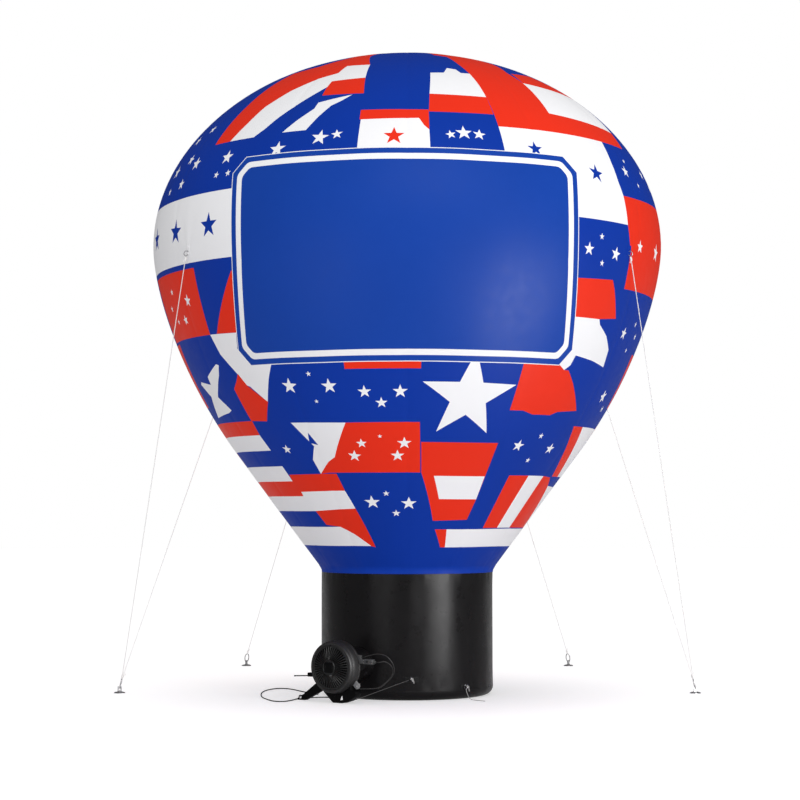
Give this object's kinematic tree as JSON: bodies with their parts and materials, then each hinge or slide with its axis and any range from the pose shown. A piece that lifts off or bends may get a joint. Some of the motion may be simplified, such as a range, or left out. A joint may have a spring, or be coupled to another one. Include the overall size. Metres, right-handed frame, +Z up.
{
  "type": "hot air balloon shaped inflatable",
  "caption": "Ground-standing balloon shaped inflatable with a plain message panel, round black base, floor blower, air sleeve, stays and ground anchors.",
  "frame": {"origin": "centre of the base's flat underside, on the ground", "axes": "+Z up, -Y towards the front with the message panel, +X to the right of someone who looks at the front"},
  "size_m": [4.62, 4.8341, 5.029],
  "materials": {
    "anchor_steel": "dull galvanised steel",
    "banner_fabric": "smooth blue panel with a white frame line",
    "base_fabric": "glossy black coated fabric",
    "cable_rubber": "smooth black cable sheath",
    "drum_plastic": "fine grained black plastic",
    "fan_plastic": "satin black plastic",
    "grey_plastic": "mid grey plastic",
    "grey_rope": "thin grey braided cord",
    "grille_plastic": "satin black moulded plastic",
    "printed_fabric": "satin coated polyester printed in blue, red and white",
    "stay_rope": "thin pale braided cord",
    "webbing": "matt black webbing with pale rings"
  },
  "bodies": {
    "frame": {"anchor_1": "anchor_steel", "anchor_2": "anchor_steel", "anchor_3": "anchor_steel", "anchor_4": "anchor_steel", "anchor_link_1": "anchor_steel", "anchor_link_2": "anchor_steel", "anchor_link_3": "anchor_steel", "anchor_link_4": "anchor_steel", "banner_panel": "banner_fabric", "base_floor": "base_fabric", "base_tab_left": "webbing", "base_tab_right": "webbing", "base_wall_1": "base_fabric", "base_wall_2": "base_fabric", "base_wall_3": "base_fabric", "base_wall_4": "base_fabric", "blower_foot": "drum_plastic", "blower_grille": "grille_plastic", "blower_housing": "drum_plastic", "blower_leg": "drum_plastic", "blower_motor": "fan_plastic", "blower_sleeve": "base_fabric", "cord_gland": "cable_rubber", "crown_cap": "printed_fabric", "foot_lug": "grey_plastic", "gore_01": "printed_fabric", "gore_02": "printed_fabric", "gore_03": "printed_fabric", "gore_04": "printed_fabric", "gore_05": "printed_fabric", "gore_06": "printed_fabric", "gore_07": "printed_fabric", "gore_08": "printed_fabric", "gore_09": "printed_fabric", "gore_10": "printed_fabric", "gore_11": "printed_fabric", "gore_12": "printed_fabric", "loop_lead": "cable_rubber", "mains_cord": "cable_rubber", "mains_plug": "cable_rubber", "rope_tail": "grey_rope", "side_lever": "drum_plastic", "sleeve_strap": "webbing", "stay_1": "stay_rope", "stay_2": "stay_rope", "stay_3": "stay_rope", "stay_4": "stay_rope", "stay_5": "stay_rope", "stay_6": "stay_rope", "stay_tab_1": "webbing", "stay_tab_2": "webbing", "stay_tab_3": "webbing", "stay_tab_4": "webbing", "stay_tab_5": "webbing", "stay_tab_6": "webbing", "switch_box": "grey_plastic", "switch_lead": "cable_rubber", "tie_cord": "stay_rope"},
    "impeller": {"blower_impeller": "fan_plastic"}
  },
  "joints": [
    {"name": "impeller_spin", "type": "hinge", "parent": "frame", "child": "impeller", "pos_m": [-0.536, -0.79, 0.266], "axis": [-0.5878, -0.809, 0], "continuous": true}
  ]
}
